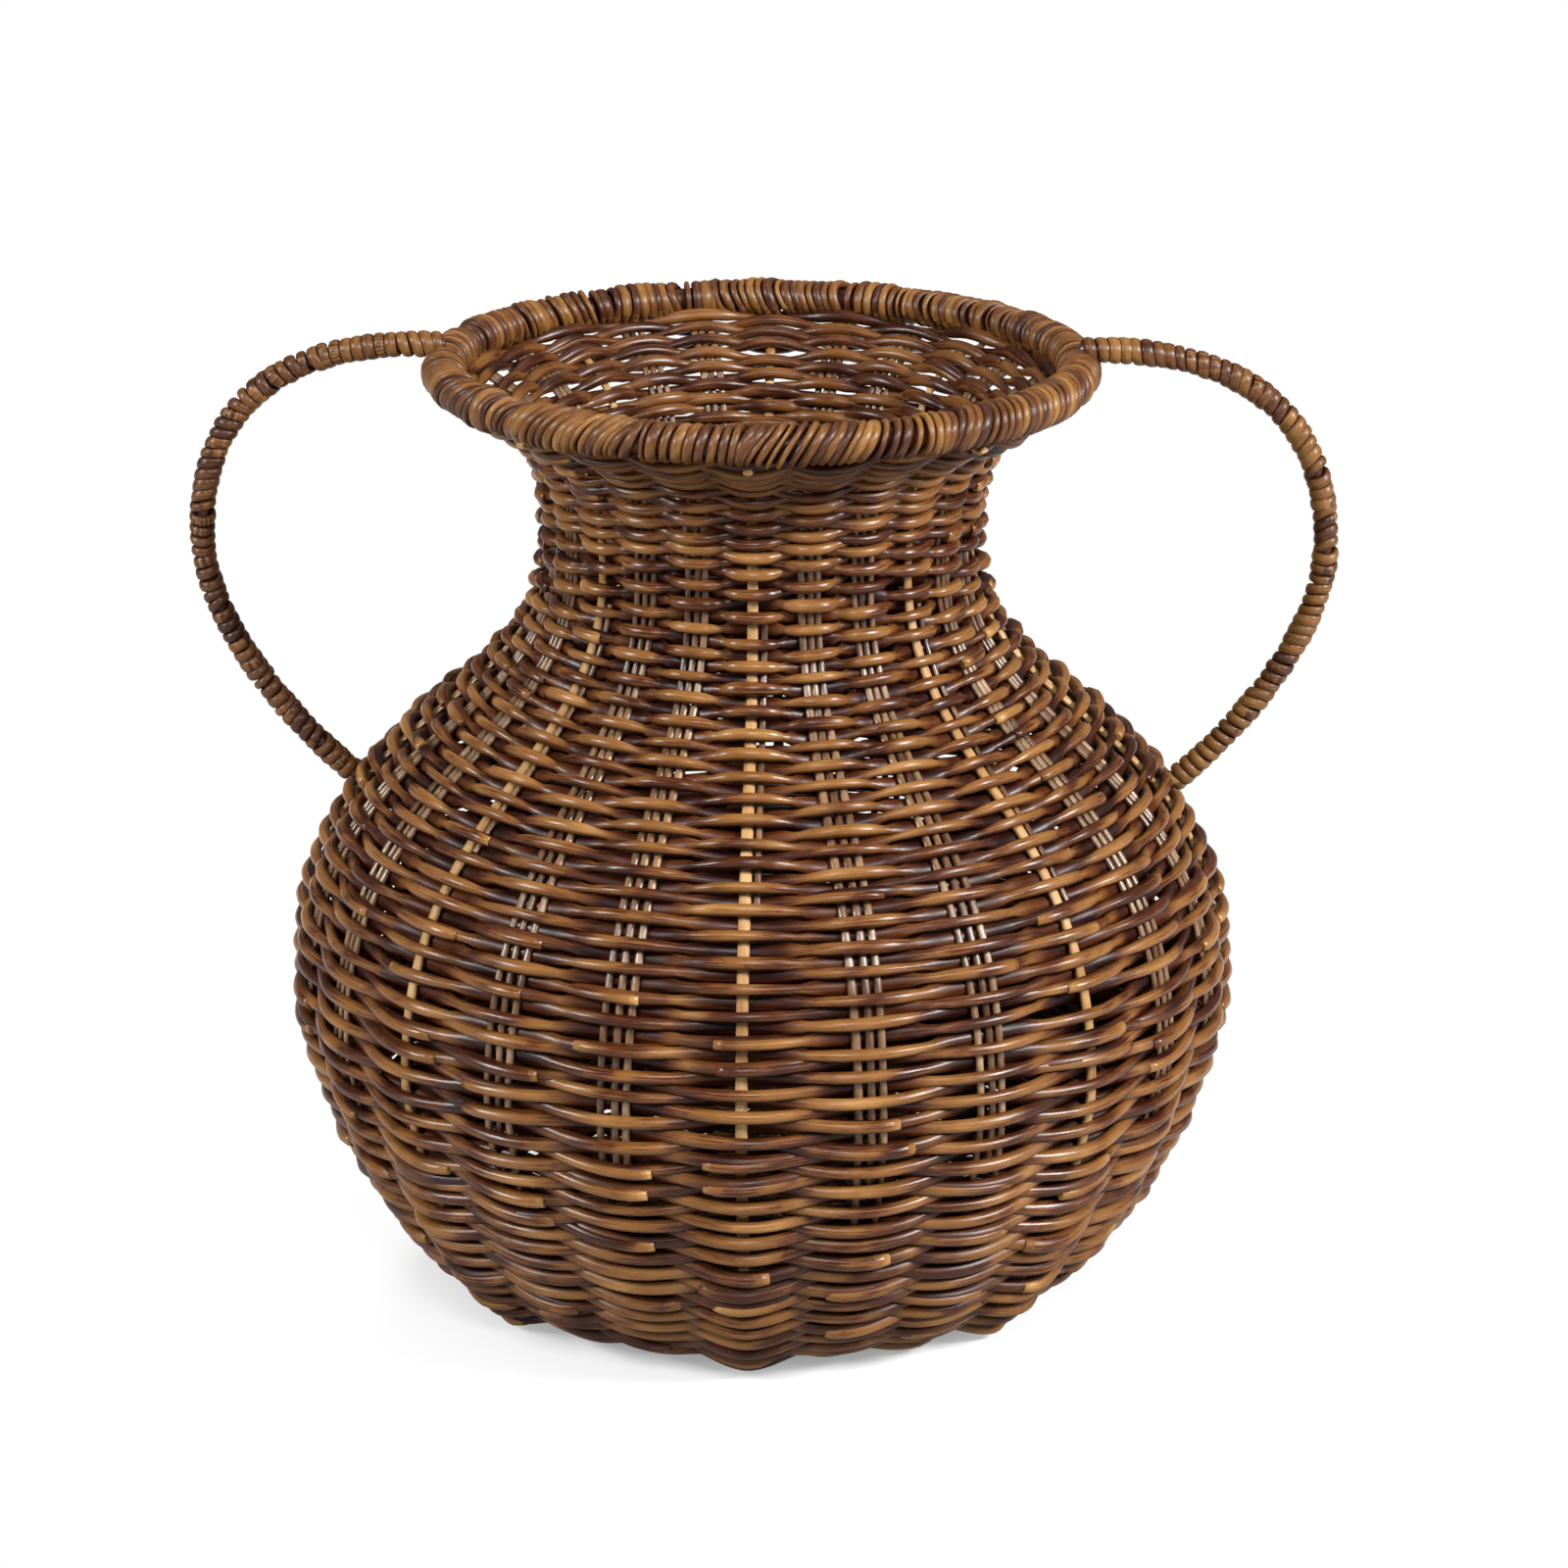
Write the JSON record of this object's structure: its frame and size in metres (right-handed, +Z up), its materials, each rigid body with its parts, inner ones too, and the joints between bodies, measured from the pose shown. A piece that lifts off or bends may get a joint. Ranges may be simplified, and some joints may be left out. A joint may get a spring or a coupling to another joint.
{
  "type": "woven vase",
  "caption": "Round-bellied woven cane vase with a narrow neck, a flared mouth with a bound rim, and a cane-wrapped ear handle on each side; stands on a woven base.",
  "frame": {"origin": "on the ground, under the middle of the base", "axes": "+Z up through the mouth, +X through the right handle, -Y towards the viewer"},
  "size_m": [0.3456, 0.2906, 0.2917],
  "materials": {
    "weave_cane": "patchy golden to dark brown stain, satin lacquer",
    "frame_cane": "light tan cane, satin",
    "thin_cane": "grey tan cane, satin",
    "binding_cane": "golden to dark brown split cane, satin lacquer",
    "core_cane": "plain round cane, satin"
  },
  "bodies": {
    "root": {"base_weave": "weave_cane", "frame_stake_1": "frame_cane", "frame_stake_2": "frame_cane", "frame_stake_3": "frame_cane", "frame_stake_4": "frame_cane", "frame_stake_5": "frame_cane", "frame_stake_6": "frame_cane", "frame_stake_7": "frame_cane", "frame_stake_8": "frame_cane", "stake_bundle_1": "thin_cane", "stake_bundle_2": "thin_cane", "stake_bundle_3": "thin_cane", "stake_bundle_4": "thin_cane", "stake_bundle_5": "thin_cane", "stake_bundle_6": "thin_cane", "stake_bundle_7": "thin_cane", "stake_bundle_8": "thin_cane", "stake_bundle_9": "thin_cane", "stake_bundle_10": "thin_cane", "stake_bundle_11": "thin_cane", "stake_bundle_12": "thin_cane", "stake_bundle_13": "thin_cane", "stake_bundle_14": "thin_cane", "stake_bundle_15": "thin_cane", "stake_bundle_16": "thin_cane", "weave_foot": "weave_cane", "weave_lower_belly": "weave_cane", "weave_upper_belly": "weave_cane", "weave_shoulder": "weave_cane", "weave_neck": "weave_cane", "weave_collar": "weave_cane", "rim_hoop": "core_cane", "rim_binding_back": "binding_cane", "rim_binding_front": "binding_cane", "handle_binding_right": "binding_cane", "handle_binding_left": "binding_cane", "handle_core_right": "core_cane", "handle_core_left": "core_cane"}
  },
  "joints": []
}
